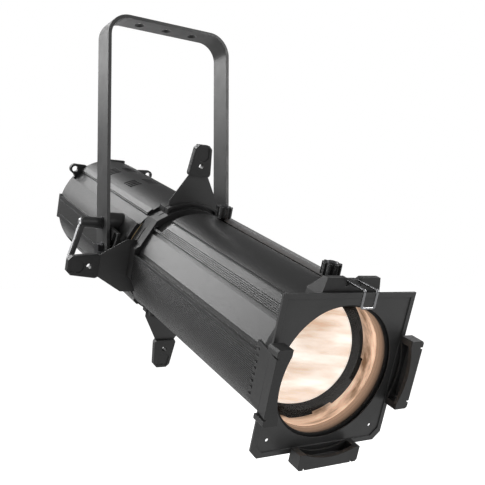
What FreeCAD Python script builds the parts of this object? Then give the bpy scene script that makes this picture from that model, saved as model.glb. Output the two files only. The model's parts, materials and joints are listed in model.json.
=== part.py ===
"""Ellipsoidal spotlight with a zoom lens tube, framing shutters and a hanging yoke.

Row frame: millimetres, +Z up, +X to the right, the beam leaves towards -Y. The origin is the
middle of the yoke's centre hanging hole. The barrel hangs in the yoke, nose down by tilt_angle.
Barrel parts are drawn in the barrel's own frame (origin on the optical axis beside the guide
bolts, beam towards -Y) and carried into the row frame by one placement.
"""
import FreeCAD, Part
import math
import os
import re
import Sketcher

Vector = FreeCAD.Vector
document = FreeCAD.newDocument("EllipsoidalSpotlight")

DIMENSIONS = {
    # yoke and tilt lock
    "yoke_half": 90.8, "yoke_bar": 34.0, "yoke_thick": 4.5, "yoke_corner": 30.0,
    "bolt_drop": 303.0, "pivot_rise": 33.0, "leg_tail": 20.0, "leg_round": 13.0,
    "hang_hole": 6.5, "hang_pitch": 40.0, "tilt_angle": 20.0,
    "stud_radius": 5.0, "pin_clearance": 0.06, "bolt_radius": 4.0, "bolt_head": 6.5,
    "bolt_head_high": 5.5, "washer_radius": 8.6, "washer_thick": 1.6,
    "hub_radius": 7.2, "hub_long": 26.0, "lever_reach": 47.0, "lever_lean": 17.0,
    "lever_wide": 11.0, "lever_thick": 5.0,
    # tilt brackets
    "plate_outer": 84.6, "plate_thick": 4.0, "disc_thick": 1.5, "boss_radius": 14.0,
    "slot_half_width": 4.4, "slot_start": -167.0, "slot_end": -73.0, "sector_reach": 41.0,
    # lamp housing
    "housing_radius": 77.0, "housing_bore": 72.0, "housing_front": -34.0, "housing_rear": 216.0,
    "block_half": 17.0, "block_reach": 78.5, "vent_wide": 17.0, "vent_slit": 3.4, "vent_rib": 6.8,
    "vent_front": 66.0, "vent_pitch": 75.0, "vent_angle": 19.5,
    "rear_thick": 5.5, "ear_reach": 85.0, "ear_radius": 7.5, "ear_hole": 4.5,
    "panel_half_wide": 50.0, "panel_half_high": 46.0, "panel_thick": 2.0,
    # gate and shutters
    "gate_front": -50.0, "rim_rear": -56.8, "rim_front": -61.5, "gate_bore": 50.0,
    "lobe_radius": 80.0, "side_reach": 73.5, "side_half": 19.0,
    "aperture_radius": 32.0, "blade_thick": 0.8, "blade_pitch": 1.2, "first_blade": -49.6,
    "aperture_front": -44.8, "aperture_rear": -43.6, "corner_post": 43.0,
    "lobe_half": 36.0, "lobe_low": 64.0, "facet_x": 50.0, "facet_z": 56.0,
    "side_x": 67.5, "side_z": 23.0, "pocket_inner": 73.6, "pocket_outer": 77.6, "pocket_half": 33.0,
    "blade_inner": 33.0, "blade_half": 34.0, "blade_shoulder": 75.4, "blade_neck": 12.5,
    "blade_end": 111.0, "handle_inner": 109.0, "handle_outer": 148.0, "handle_thick": 8.0,
    "handle_inner_half": 15.5, "handle_outer_half": 11.0, "handle_hole": 3.3,
    "handle_hole_at": 121.5, "handle_pad_deep": 1.0, "slot_play": 0.3,
    # lens tube
    "tube_rear": -61.5, "tube_front": -349.0, "tube_bore": 63.6, "tube_skin": 74.0,
    "tube_top": 73.5, "facet_distance": 66.4, "facet_low": 14.0, "facet_high": 36.5,
    "channel_radius": 65.6, "rib_band_radius": 70.0, "rib_band_start": 40.5,
    "strip_start": 48.5, "strip_end": 57.5, "seam_angle": 12.0, "seam_radius": 67.5,
    "skirt_start": 10.0, "rib_pitch": 2.0, "rib_deep": 1.0,
    "recess_radius": 66.2, "recess_front": -81.0, "recess_start": 42.5,
    "slot_x": 16.0, "slot_half": 3.3, "slot_rear": -94.0, "slot_front": -330.0,
    "rail_left": 19.4, "rail_right": 28.5, "rail_top": 76.2,
    # carriages and knobs
    "zoom_y": -103.0, "focus_y": -315.0, "carriage_outer": 61.0, "carriage_inner": 51.0,
    "carriage_long": 15.0, "tab_reach": 63.3, "carriage_lens_curve": 98.0,
    "knob_radius": 10.2, "knob_low": 76.8, "knob_high": 89.5, "knob_lobes": 9, "flute_radius": 2.3,
    "knob_stud": 2.5, "stud_low": 56.0,
    # front bezel, clips, cover, latch and gel frame
    "bezel_front": -367.0, "bezel_rear": -349.0, "bezel_radius": 74.6, "opening_radius": 67.3,
    "lens_radius": 66.0, "lens_back": -352.5, "lens_edge": 3.0, "lens_curve": 180.0,
    "clip_front": -389.5, "clip_wall_outer": 87.0,
    "clip_half": 36.0, "clip_lip": 4.0, "clip_post": 6.5, "clip_bar_outer": 84.2,
    "clip_post_reach": 71.0, "clip_arc": 77.0, "panel_rear_reach": 78.5, "panel_rear": -348.0,
    "panel_half": 27.5, "divider_front": -376.5, "divider_rear": -374.5,
    "comb_pitch": 6.2, "comb_wide": 3.6, "comb_deep": 7.0,
    "cover_half_top": 31.5, "cover_half_low": 35.0, "cover_top": 92.5, "cover_low": 75.5,
    "cover_roof_rear": -360.8, "cover_rear": -345.0, "notch_half": 9.4, "notch_low": 84.5,
    "catch_half": 5.0, "catch_top": 90.5,
    "wire_radius": 1.3, "latch_half": 7.5, "latch_pivot_y": -362.5, "latch_pivot_z": 89.0,
    "latch_front": -390.6, "latch_low": 72.6, "latch_bend": 1.8,
    "gel_half": 79.375, "gel_rear": -368.9, "gel_sheet": 1.2, "gel_hem": 5.0,
    "gel_hem_high": 1.0, "gel_chamfer": 8.25, "gel_hole": 1.75, "gel_hole_x": 62.6,
    "gel_hole_z": 62.3,
}

dims = document.addObject("Spreadsheet::Sheet", "Dims")
for row, (alias, value) in enumerate(DIMENSIONS.items(), start=1):
    dims.set("A%d" % row, alias)
    dims.set("B%d" % row, str(value))
    dims.setAlias("B%d" % row, alias)
document.recompute()

subparts = []


# ---------------------------------------------------------------- sheet, frames and helpers

def bound(text):
    """The expression that FreeCAD binds: every alias in the text is read from the sheet."""
    def named(match):
        word = match.group()
        return "Dims." + word if word in DIMENSIONS else word
    return re.sub(r"[A-Za-z_]\w*", named, str(text))


def size(text):
    """The number that an expression of sheet aliases stands for now."""
    return float(dims.evalExpression(bound(text)))


ROW = FreeCAD.Placement()
BARREL = FreeCAD.Placement(
    Vector(0, 0, -size("bolt_drop")),
    FreeCAD.Rotation(Vector(1, 0, 0), size("tilt_angle")),
)


def turned(angle):
    """The barrel frame turned about the optical axis, for pieces repeated round the beam."""
    return BARREL.multiply(FreeCAD.Placement(Vector(), FreeCAD.Rotation(Vector(0, 1, 0), angle)))


PLANES = {"x": "YZ_Plane", "y": "XZ_Plane", "z": "XY_Plane"}


def new_body(label, placement=BARREL):
    body = document.addObject("PartDesign::Body", label)
    body.Label = label
    body.Placement = placement
    subparts.append(body)
    return body


def new_sketch(body, axis, low, high):
    """A sketch square to axis; the XZ plane faces -Y, so it is set off from the high side."""
    sketch = body.newObject("Sketcher::SketchObject", "Sketch")
    planes = body.Origin.OriginFeatures
    plane = [item for item in planes if item.Role == PLANES[axis]][0]
    sketch.AttachmentSupport = (plane, "")
    sketch.MapMode = "FlatFace"
    offset = "-(%s)" % high if axis == "y" else "(%s)" % low
    sketch.setExpression("AttachmentOffset.Base.z", bound(offset))
    return sketch


def pin(sketch, kind, geometry, place, text):
    """Holds one coordinate of a sketch point at an expression's value."""
    number = Sketcher.Constraint(kind, -1, 1, geometry, place, size(text))
    index = sketch.addConstraint(number)
    sketch.setExpression("Constraints[%d]" % index, bound(text))


def draw_circle(sketch, x, y, radius):
    centre = Vector(size(x), size(y), 0)
    circle = Part.Circle(centre, Vector(0, 0, 1), size(radius))
    index = sketch.addGeometry(circle, False)
    pin(sketch, "DistanceX", index, 3, x)
    pin(sketch, "DistanceY", index, 3, y)
    rule = sketch.addConstraint(Sketcher.Constraint("Radius", index, size(radius)))
    sketch.setExpression("Constraints[%d]" % rule, bound(radius))


def arc_middle(start, end, radius):
    """A point on the minor arc from start to end; a positive radius bulges to the left."""
    middle = (start + end) * 0.5
    chord = end - start
    side = Vector(-chord.y, chord.x, 0).normalize()
    rise = abs(radius) - math.sqrt(max(radius * radius - chord.Length ** 2 / 4, 0))
    return middle + side * math.copysign(rise, radius)


def draw_outline(sketch, points):
    """A closed outline. A third value makes the edge that leaves a point an arc of that radius."""
    places = [Vector(size(point[0]), size(point[1]), 0) for point in points]
    edges = []
    for number, point in enumerate(points):
        start = places[number]
        end = places[(number + 1) % len(points)]
        if len(point) == 3:
            bulge = size(point[2])
            middle = arc_middle(start, end, bulge)
            # sketch arcs have to run anticlockwise
            edge = Part.Arc(end, middle, start) if bulge > 0 else Part.Arc(start, middle, end)
        else:
            edge = Part.LineSegment(start, end)
        edges.append(sketch.addGeometry(edge, False))
    ends = [edge_ends(sketch, edge, place) for edge, place in zip(edges, places)]
    for number, edge in enumerate(edges):
        after = (number + 1) % len(edges)
        join = Sketcher.Constraint("Coincident", edge, ends[number][1], edges[after], ends[after][0])
        sketch.addConstraint(join)
        pin(sketch, "DistanceX", edge, ends[number][0], points[number][0])
        pin(sketch, "DistanceY", edge, ends[number][0], points[number][1])
        if len(points[number]) == 3:
            radius = "abs(%s)" % points[number][2]
            rule = sketch.addConstraint(Sketcher.Constraint("Radius", edge, size(radius)))
            sketch.setExpression("Constraints[%d]" % rule, bound(radius))


def edge_ends(sketch, edge, start):
    """Which ends of a sketch edge are its first and last points, counted from start."""
    gap = sketch.Geometry[edge].StartPoint.distanceToPoint(start)
    return (1, 2) if gap < 1e-6 else (2, 1)


def draw(sketch, shapes):
    for shape in shapes:
        kind, values = shape[0], shape[1:]
        if kind == "circle":
            draw_circle(sketch, *values)
        elif kind == "box":
            left, low, right, high = values
            draw_outline(sketch, [(left, low), (right, low), (right, high), (left, high)])
        else:
            draw_outline(sketch, values[0])


def extrude(body, axis, low, high, shapes, cut=False):
    """Pads or pockets sketched shapes along an axis between two places on it."""
    sketch = new_sketch(body, axis, low, high)
    draw(sketch, shapes)
    before = body.Shape.Volume if cut else 0.0
    feature = body.newObject("PartDesign::Pocket" if cut else "PartDesign::Pad", "Extrusion")
    feature.Profile = sketch
    feature.setExpression("Length", bound("(%s) - (%s)" % (high, low)))
    feature.Reversed = cut
    body.Tip = feature
    document.recompute()
    if cut and body.Shape.Volume > before - 1e-6:
        raise RuntimeError("a pocket in %s cuts nothing" % body.Label)
    return feature


def fillet(body, radius, wanted):
    """Rounds the edges of the body's present shape that wanted(edge) picks."""
    tip = body.Tip
    names = ["Edge%d" % (n + 1) for n, edge in enumerate(tip.Shape.Edges) if wanted(edge)]
    feature = body.newObject("PartDesign::Fillet", "Fillet")
    feature.Base = (tip, names)
    feature.setExpression("Radius", bound(radius))
    body.Tip = feature
    document.recompute()


def runs_along(edge, axis):
    """True for a straight edge in the direction of axis."""
    if not isinstance(edge.Curve, (Part.Line, Part.LineSegment)):
        return False
    first, last = edge.Vertexes[0].Point, edge.Vertexes[-1].Point
    direction = (last - first).normalize()
    return abs(getattr(direction, axis)) > 0.999


def revolve(body, points):
    """Turns a profile of (radius, y) points about the Y axis."""
    sketch = new_sketch(body, "z", "0", "0")
    draw_outline(sketch, points)
    feature = body.newObject("PartDesign::Revolution", "Revolution")
    feature.Profile = sketch
    feature.ReferenceAxis = (sketch, ["V_Axis"])
    feature.Angle = 360
    body.Tip = feature
    document.recompute()


def pattern(body, feature, axis_role, count, angle=360.0):
    """Repeats one feature round an origin axis of the body."""
    polar = body.newObject("PartDesign::PolarPattern", "Pattern")
    polar.Originals = [feature]
    axes = body.Origin.OriginFeatures
    polar.Axis = ([item for item in axes if item.Role == axis_role][0], [""])
    polar.Angle = angle
    polar.Occurrences = count
    body.Tip = polar
    document.recompute()


def add_shape(label, shape, placement=BARREL):
    """A sub-part whose outline repeats too often for a sketch; its sizes come from the sheet."""
    feature = document.addObject("Part::Feature", label)
    feature.Label = label
    feature.Shape = shape.removeSplitter()
    feature.Placement = placement
    subparts.append(feature)
    return feature


def polar(angle, radius):
    """A barrel section point: angle is counted upwards from the left-hand side, in degrees."""
    turn = math.radians(angle)
    return Vector(-radius * math.cos(turn), 0, radius * math.sin(turn))


def prism(points, low, high):
    """A solid between two y places from a closed list of section points."""
    wire = Part.makePolygon([point + Vector(0, low, 0) for point in points + points[:1]])
    return Part.Face(wire).extrude(Vector(0, high - low, 0))


def rod(start, direction, length, radius):
    return Part.makeCylinder(radius, length, Vector(*start), Vector(*direction))


# ---------------------------------------------------------------- yoke and tilt lock

def yoke_bracket():
    """Flat bar bent into a U, with three hanging holes and two holes in each leg."""
    body = new_body("yoke_bracket", ROW)
    half, top, tail = "yoke_half", "yoke_thick / 2", "-(bolt_drop + leg_tail)"
    inner = "yoke_half - yoke_thick"
    inner_bend = "yoke_corner - yoke_thick"
    shoulder = "yoke_thick / 2 - yoke_corner"
    flat = "yoke_half - yoke_corner"
    outline = [
        ("-(%s)" % half, tail), ("-(%s)" % half, shoulder, "yoke_corner"),
        ("-(%s)" % flat, top), (flat, top, "yoke_corner"),
        (half, shoulder), (half, tail), (inner, tail),
        (inner, shoulder, "-(%s)" % inner_bend),
        (flat, "-yoke_thick / 2"), ("-(%s)" % flat, "-yoke_thick / 2", "-(%s)" % inner_bend),
        ("-(%s)" % inner, shoulder), ("-(%s)" % inner, tail),
    ]
    extrude(body, "y", "-yoke_bar / 2", "yoke_bar / 2", [("outline", outline)])
    holes = [("circle", place, "0", "hang_hole") for place in ("-hang_pitch", "0", "hang_pitch")]
    extrude(body, "z", "-yoke_thick", "yoke_thick", holes, cut=True)
    leg_holes = [
        ("circle", "0", "pivot_rise - bolt_drop", "stud_radius + pin_clearance"),
        ("circle", "0", "-bolt_drop", "bolt_radius + pin_clearance"),
    ]
    extrude(body, "x", "-yoke_half - 1", "yoke_half + 1", leg_holes, cut=True)
    low = size(tail)
    fillet(body, "leg_round", lambda edge: runs_along(edge, "x") and edge.CenterOfMass.z < low + 0.1)


def mirrored_pair(solid):
    """The solid and its mirror image across the plane of symmetry."""
    return Part.makeCompound([solid, solid.mirror(Vector(), Vector(1, 0, 0))])


def guide_bolts():
    """Hex bolts through the lower leg holes; their shanks run in the brackets' arc slots."""
    drop = -size("bolt_drop")
    under_head = size("yoke_half + washer_thick")
    corners = []
    for step in range(6):
        turn = math.radians(60 * step + 30)
        radius = size("bolt_head") / math.cos(math.radians(30))
        corners.append(Vector(0, radius * math.cos(turn), drop + radius * math.sin(turn)))
    wire = Part.makePolygon(corners + corners[:1])
    head = Part.Face(wire).extrude(Vector(size("bolt_head_high"), 0, 0))
    head.translate(Vector(under_head, 0, 0))
    shank_end = size("plate_outer - plate_thick + 0.6")
    shank = rod((shank_end, 0, drop), (1, 0, 0), under_head - shank_end, size("bolt_radius"))
    add_shape("guide_bolts", mirrored_pair(head.fuse(shank)), ROW)


def bolt_washers():
    """Plain washers under the guide bolts and under the lever and the right-hand lock nut."""
    rings = []
    for drop, hole in (("bolt_drop", "bolt_radius"), ("bolt_drop - pivot_rise", "stud_radius")):
        start = (size("yoke_half"), 0, -size(drop))
        disc = rod(start, (1, 0, 0), size("washer_thick"), size("washer_radius"))
        bore = rod(start, (1, 0, 0), size("washer_thick"), size(hole) + size("pin_clearance"))
        rings.append(disc.cut(bore))
    pair = mirrored_pair(rings[0])
    add_shape("bolt_washers", Part.makeCompound([pair, mirrored_pair(rings[1])]), ROW)


def lock_lever():
    """Clamping lever: a long tubular hub on the left pivot stud and a flat arm that leans out."""
    body = new_body("lock_lever", ROW)
    hub_start = "-(yoke_half + washer_thick + 0.1)"
    hub_end = "%s - hub_long" % hub_start
    centre = "pivot_rise - bolt_drop"
    extrude(body, "x", hub_end, hub_start, [("circle", "0", centre, "hub_radius")])
    outline = [
        (hub_end, centre),
        ("%s - lever_lean" % hub_end, "%s - lever_reach" % centre),
        ("%s - lever_lean + lever_thick" % hub_end, "%s - lever_reach" % centre),
        ("%s + lever_thick" % hub_end, centre),
    ]
    half_wide = "lever_wide / 2"
    extrude(body, "y", "-(%s)" % half_wide, half_wide, [("outline", outline)])
    low = size(centre) - size("lever_reach")
    fillet(body, "lever_wide / 2.2",
           lambda edge: runs_along(edge, "x") and edge.CenterOfMass.z < low + 0.1)
    bore = [("circle", "0", centre, "stud_radius + pin_clearance")]
    extrude(body, "x", "%s - lever_lean" % hub_end, "%s + 1" % hub_start, bore, cut=True)


# the tilt pivot in the barrel frame
PIVOT_Y = "pivot_rise * sin(tilt_angle * 1deg)"
PIVOT_Z = "pivot_rise * cos(tilt_angle * 1deg)"


def pivot_studs():
    """Threaded studs screwed into the tilt brackets; the left one carries the lever."""
    y, z = PIVOT_Y, PIVOT_Z
    inner = size("plate_outer - plate_thick")
    reach_left = size("yoke_half + washer_thick + hub_long + 1.5")
    reach_right = size("yoke_half + washer_thick + bolt_head_high + 2")
    left = rod((-inner, size(y), size(z)), (-1, 0, 0), reach_left - inner, size("stud_radius"))
    right = rod((inner, size(y), size(z)), (1, 0, 0), reach_right - inner, size("stud_radius"))
    add_shape("pivot_studs", Part.makeCompound([left, right]))


def pivot_nut():
    """Lock nut on the right-hand pivot stud."""
    body = new_body("pivot_nut")
    y, z = PIVOT_Y, PIVOT_Z
    start = "yoke_half + washer_thick + 0.1"
    corners = []
    for step in range(6):
        turn = 60 * step
        corners.append(("(%s) + 9.5 * cos(%ddeg)" % (y, turn), "(%s) + 9.5 * sin(%ddeg)" % (z, turn)))
    extrude(body, "x", start, "%s + bolt_head_high" % start, [("outline", corners)])
    bore = [("circle", y, z, "stud_radius")]
    extrude(body, "x", "%s - 1" % start, "%s + bolt_head_high + 1" % start, bore, cut=True)


def sector(outer, start, thick, begin, end):
    """A sector of a disc on the pivot axis, its angles counted from +Y towards +Z."""
    centre = Vector(start, size(PIVOT_Y), size(PIVOT_Z))
    along = Vector(1, 0, 0)
    disc = Part.makeCylinder(outer, thick, centre, along, end - begin)
    # a part cylinder along +X starts its sweep at +Z, which is 90 degrees here
    disc.rotate(centre, along, begin - 90)
    return disc


def arc_slot(start, thick):
    """The cutter for the slot the guide bolt runs in, closed by round ends."""
    radius, half = size("pivot_rise"), size("slot_half_width")
    begin, end = size("slot_start"), size("slot_end")
    slot = sector(radius + half, start, thick, begin, end)
    slot = slot.cut(sector(radius - half, start, thick, begin - 5, end + 5))
    for angle in (begin, end):
        turn = math.radians(angle)
        y = size(PIVOT_Y) + radius * math.cos(turn)
        z = size(PIVOT_Z) + radius * math.sin(turn)
        slot = slot.fuse(rod((start, y, z), (1, 0, 0), thick, half))
    return slot


def tilt_bracket(label, side):
    """Side plate: a boss round the pivot and a sector with the arc slot, footed on the housing."""
    inner, thick = size("plate_outer - plate_thick"), size("plate_thick")
    begin, end = size("slot_start") - 10, size("slot_end") + 10
    y, z, flat = size(PIVOT_Y), size(PIVOT_Z), size("block_reach")
    plate = sector(size("sector_reach"), inner, thick, begin, end)
    foot = sector(size("sector_reach"), flat, inner - flat, begin, end)
    side_flat = Part.makeBox(10, 200, 2 * size("block_half"), Vector(flat, -100, -size("block_half")))
    boss = rod((60, y, z), (1, 0, 0), inner + thick - 60, size("boss_radius"))
    barrel = rod((0, -100, 0), (0, 1, 0), 300, size("housing_radius"))
    block = Part.makeBox(flat, 200, 2 * size("block_half"), Vector(0, -100, -size("block_half")))
    plate = plate.fuse(foot.common(side_flat)).fuse(boss.cut(barrel).cut(block))
    plate = plate.cut(arc_slot(inner, thick))
    plate = plate.cut(rod((inner, y, z), (1, 0, 0), thick, size("stud_radius")))
    if side < 0:
        plate = plate.mirror(Vector(), Vector(1, 0, 0))
    add_shape(label, plate)


def friction_discs():
    """Discs between the tilt brackets and the yoke legs, clamped by the lever."""
    start = (size("plate_outer"), size(PIVOT_Y), size(PIVOT_Z))
    disc = rod(start, (1, 0, 0), size("disc_thick"), size("boss_radius"))
    disc = disc.cut(rod(start, (1, 0, 0), size("disc_thick"), size("stud_radius")))
    add_shape("friction_discs", mirrored_pair(disc))


# ---------------------------------------------------------------- gate and shutters

def collar_outline(lobed):
    """Outline of the gate rings: side blocks and chord facets, with or without round lobes."""
    quarter = [("side_reach", "side_half"), ("side_x", "side_z"), ("facet_x", "facet_z"),
               ("lobe_half", "lobe_low")]
    radius = "sqrt(lobe_half * lobe_half + lobe_low * lobe_low)"
    if lobed:
        quarter.append(("lobe_half", "sqrt(lobe_radius * lobe_radius - lobe_half * lobe_half)"))
        radius = "lobe_radius"
    left_up = [("-" + x, z) for x, z in reversed(quarter)]
    left_down = [("-" + x, "-" + z) for x, z in quarter]
    right_down = [(x, "-" + z) for x, z in reversed(quarter)]
    points = quarter + left_up + left_down + right_down
    # the arcs over the top and under the bottom leave the ends of the first and third quarters
    for last in (len(quarter) - 1, 3 * len(quarter) - 1):
        points[last] += ("-" + radius,)
    return points


SIDES = ("top", "bottom", "left", "right")


def layer_front(side):
    """Front face of the shutter blade on one side; each side has its own layer."""
    return "first_blade + blade_pitch * %d" % SIDES.index(side)


def slot_wall(side):
    """Outline of the collar wall beside one shutter slot, between two corner posts."""
    slope_side = "side_x - (corner_post - side_z) * (side_x - facet_x) / (facet_z - side_z)"
    slope_top = "lobe_low - (corner_post - lobe_half) * (lobe_low - facet_z) / (facet_x - lobe_half)"
    if side in ("left", "right"):
        sign = "-" if side == "left" else ""
        half = [("gate_bore", "corner_post"), (slope_side, "corner_post"), ("side_x", "side_z"),
                ("side_reach", "side_half")]
        upper = [(sign + "(%s)" % x, z) for x, z in half]
        return upper + [(x, "-(%s)" % z) for x, z in reversed(upper)]
    sign = "-" if side == "bottom" else ""
    lobe = "sqrt(lobe_radius * lobe_radius - lobe_half * lobe_half)"
    half = [("corner_post", "gate_bore"), ("corner_post", slope_top), ("lobe_half", "lobe_low"),
            ("lobe_half", lobe)]
    right = [(x, sign + "(%s)" % z) for x, z in half]
    left = [("-(%s)" % x, z) for x, z in reversed(right)]
    bulge = "lobe_radius" if side == "bottom" else "-lobe_radius"
    right[-1] += (bulge,)
    return right + left


def gate_front_ring():
    """Front half of the gate: a stepped rim, hollow lobes and the walls in front of the slots."""
    body = new_body("gate_front_ring")
    extrude(body, "y", "rim_rear", "gate_front", [("outline", collar_outline(True))])
    extrude(body, "y", "rim_front", "rim_rear", [("outline", collar_outline(False))])
    extrude(body, "y", "rim_front - 1", "gate_front + 1", [("circle", "0", "0", "gate_bore")], cut=True)
    for side in SIDES:
        extrude(body, "y", "gate_front", "%s - slot_play" % layer_front(side),
                [("outline", slot_wall(side))])
    pocket_low = "sqrt(pocket_inner * pocket_inner - pocket_half * pocket_half)"
    pocket_high = "sqrt(pocket_outer * pocket_outer - pocket_half * pocket_half)"
    for sign in ("", "-"):
        turn = "" if sign else "-"
        outline = [("pocket_half", sign + pocket_low),
                   ("pocket_half", sign + pocket_high, turn + "pocket_outer"),
                   ("-pocket_half", sign + pocket_high),
                   ("-pocket_half", sign + pocket_low, sign + "pocket_inner")]
        extrude(body, "y", "rim_front - 1", "gate_front - 1.5", [("outline", outline)], cut=True)


def gate_rear_ring():
    """Rear half of the gate: the walls behind the slots and four posts at the corners."""
    body = new_body("gate_rear_ring")
    extrude(body, "y", "aperture_rear", "housing_front", [("outline", collar_outline(True))])
    extrude(body, "y", "aperture_rear", "housing_front", [("circle", "0", "0", "gate_bore - 6")], cut=True)
    slope_side = "side_x - (corner_post - side_z) * (side_x - facet_x) / (facet_z - side_z)"
    slope_top = "lobe_low - (corner_post - lobe_half) * (lobe_low - facet_z) / (facet_x - lobe_half)"
    posts = []
    for x_sign in ("", "-"):
        for z_sign in ("", "-"):
            corner = [("corner_post", "corner_post"), (slope_side, "corner_post"),
                      ("facet_x", "facet_z"), ("corner_post", slope_top)]
            posts.append(("outline", [(x_sign + "(%s)" % x, z_sign + "(%s)" % z) for x, z in corner]))
    extrude(body, "y", "gate_front", "aperture_rear", posts)
    for side in SIDES:
        extrude(body, "y", "%s + blade_thick + slot_play" % layer_front(side), "aperture_rear",
                [("outline", slot_wall(side))])


def gate_aperture():
    """Thin plate with the round gate opening that the shutters cut into."""
    body = new_body("gate_aperture")
    extrude(body, "y", "aperture_front", "aperture_rear", [("circle", "0", "0", "gate_bore - 0.5")])
    extrude(body, "y", "aperture_front", "aperture_rear", [("circle", "0", "0", "aperture_radius")],
            cut=True)


def shutter(side, angle, slip, out):
    """One framing shutter, slipped sideways and drawn out: a steel blade with a moulded handle."""
    placement = turned(angle).multiply(FreeCAD.Placement(Vector(slip, 0, out), FreeCAD.Rotation()))
    front = layer_front(side)
    rear = "%s + blade_thick" % front
    blade = new_body("shutter_blade_" + side, placement)
    outline = [
        ("-blade_half", "blade_inner"), ("-blade_half", "blade_shoulder"),
        ("-blade_neck", "blade_end"), ("blade_neck", "blade_end"),
        ("blade_half", "blade_shoulder"), ("blade_half", "blade_inner"),
    ]
    extrude(blade, "y", front, rear, [("outline", outline)])
    handle = new_body("shutter_handle_" + side, placement)
    middle = "%s + blade_thick / 2" % front
    low, high = "%s - handle_thick / 2" % middle, "%s + handle_thick / 2" % middle
    outline = [
        ("-handle_inner_half + 2", "handle_inner"), ("-handle_inner_half", "handle_inner + 4"),
        ("-handle_outer_half - 1", "handle_outer - 5"), ("-handle_outer_half + 4", "handle_outer"),
        ("handle_outer_half - 4", "handle_outer"), ("handle_outer_half + 1", "handle_outer - 5"),
        ("handle_inner_half", "handle_inner + 4"), ("handle_inner_half - 2", "handle_inner"),
    ]
    extrude(handle, "y", low, high, [("outline", outline)])
    fillet(handle, "1.5", lambda edge: edge.Length > 30 and abs(edge.CenterOfMass.x) > 9)
    socket = [("box", "-blade_neck - 1.3", "handle_inner - 1", "blade_neck + 1.3", "blade_end")]
    extrude(handle, "y", front, rear, socket, cut=True)
    extrude(handle, "y", low, high, [("circle", "0", "handle_hole_at", "handle_hole")], cut=True)
    pad = [("outline", [("8.6", "handle_outer - 15"), ("7.4", "handle_outer - 3.5"),
                        ("-7.4", "handle_outer - 3.5"), ("-8.6", "handle_outer - 15", "-9.4")])]
    extrude(handle, "y", low, "%s + handle_pad_deep" % low, pad, cut=True)


# ---------------------------------------------------------------- lamp housing

def lamp_housing():
    """Round extruded housing with flat side blocks, shoulder ribs and two rows of vents."""
    body = new_body("lamp_housing")
    front, rear = "housing_front", "housing_rear"
    extrude(body, "y", front, rear, [("circle", "0", "0", "housing_radius")])
    blocks = ("-block_reach", "-block_half", "block_reach", "block_half")
    extrude(body, "y", front, rear, [("box",) + blocks])
    ribs = []
    for angle in (52, 128, -52, -128):
        corners = [(angle - 3, 70), (angle - 3, 78.6), (angle + 3, 78.6), (angle + 3, 70)]
        places = [("%g * cos(%gdeg)" % (r, a), "%g * sin(%gdeg)" % (r, a)) for a, r in corners]
        ribs.append(("outline", places))
    extrude(body, "y", front, rear, ribs)
    grooves = []
    for angle in (42, 138, -42, -138):
        corners = [(angle - 6, 74), (angle - 6, 82), (angle + 6, 82), (angle + 6, 74)]
        places = [("%g * cos(%gdeg)" % (r, a), "%g * sin(%gdeg)" % (r, a)) for a, r in corners]
        grooves.append(("outline", places))
    extrude(body, "y", front, rear, grooves, cut=True)
    extrude(body, "y", front, rear, [("circle", "0", "0", "housing_bore")], cut=True)
    vents = []
    for row in range(2):
        for column in (-1, 0, 1):
            middle = "%d * housing_radius * sin(vent_angle * 1deg)" % column
            for slit in range(4):
                low = "vent_front + vent_pitch * %d + vent_rib * %d" % (row, slit)
                vents.append(("box", "%s - vent_wide / 2" % middle, low,
                              "%s + vent_wide / 2" % middle, "%s + vent_slit" % low))
    extrude(body, "z", "0", "90", vents, cut=True)
    extrude(body, "z", "-90", "0", vents, cut=True)
    lines = [("box", sign + "block_reach - 1", "%s" % z, sign + "block_reach + 1", "%s + 1.2" % z)
             for sign in ("", "-") for z in ("10", "-11.2")]
    extrude(body, "y", front, rear, lines, cut=True)


def plate_outline(reach, flat_half, radius):
    """A circle with four flat pads at top, bottom, left and right, as an arc-edged outline."""
    side = "sqrt(%s * %s - %s * %s)" % (radius, radius, flat_half, flat_half)
    points = []
    for x_sign, z_sign, upright in (("", "-", True), ("", "", True), ("", "", False), ("-", "", False),
                                    ("-", "", True), ("-", "-", True), ("-", "-", False),
                                    ("", "-", False)):
        near, far = (reach, flat_half) if upright else (flat_half, reach)
        points.append((x_sign, z_sign, near, far, upright))
    outline = []
    for number, (x_sign, z_sign, x, z, upright) in enumerate(points):
        corner = (x_sign + x, z_sign + z)
        if upright:
            rim = (x_sign + side, z_sign + flat_half)
        else:
            rim = (x_sign + flat_half, z_sign + side)
        if number % 2 == 0:
            outline += [rim, corner]
        else:
            outline += [corner, rim + ("-%s" % radius,)]
    return outline


def rear_cover():
    """End plate with four flats, two ears for the safety cable and a row of louvres."""
    body = new_body("rear_cover")
    front, rear = "housing_rear", "housing_rear + rear_thick"
    outline = plate_outline("block_reach", "18", "76.7")
    extrude(body, "y", front, rear, [("outline", outline)])
    for sign in ("", "-"):
        x, z = sign + "ear_reach * 0.717", "ear_reach * 0.697"
        web = [
            (sign + "40", "52"), (sign + "44", "66"), (x, "%s + ear_radius" % z),
            ("%s + %s4" % (x, sign or "+"), "%s - 3" % z), (sign + "58", "44"),
        ]
        extrude(body, "y", front, rear, [("outline", web)])
        extrude(body, "y", front, rear, [("circle", x, z, "ear_radius")])
        extrude(body, "y", front, rear, [("circle", x, z, "ear_hole")], cut=True)
    slots = [("box", "-30", "%d" % z, "30", "%d" % (z + 3)) for z in (52, 58, 64, -55, -61, -67)]
    extrude(body, "y", front, rear, slots, cut=True)


def rear_point(x, z):
    """Placement of a small piece on the rear face of the end plate."""
    return BARREL.multiply(FreeCAD.Placement(Vector(x, size("housing_rear + rear_thick"), z),
                                             FreeCAD.Rotation()))


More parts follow.
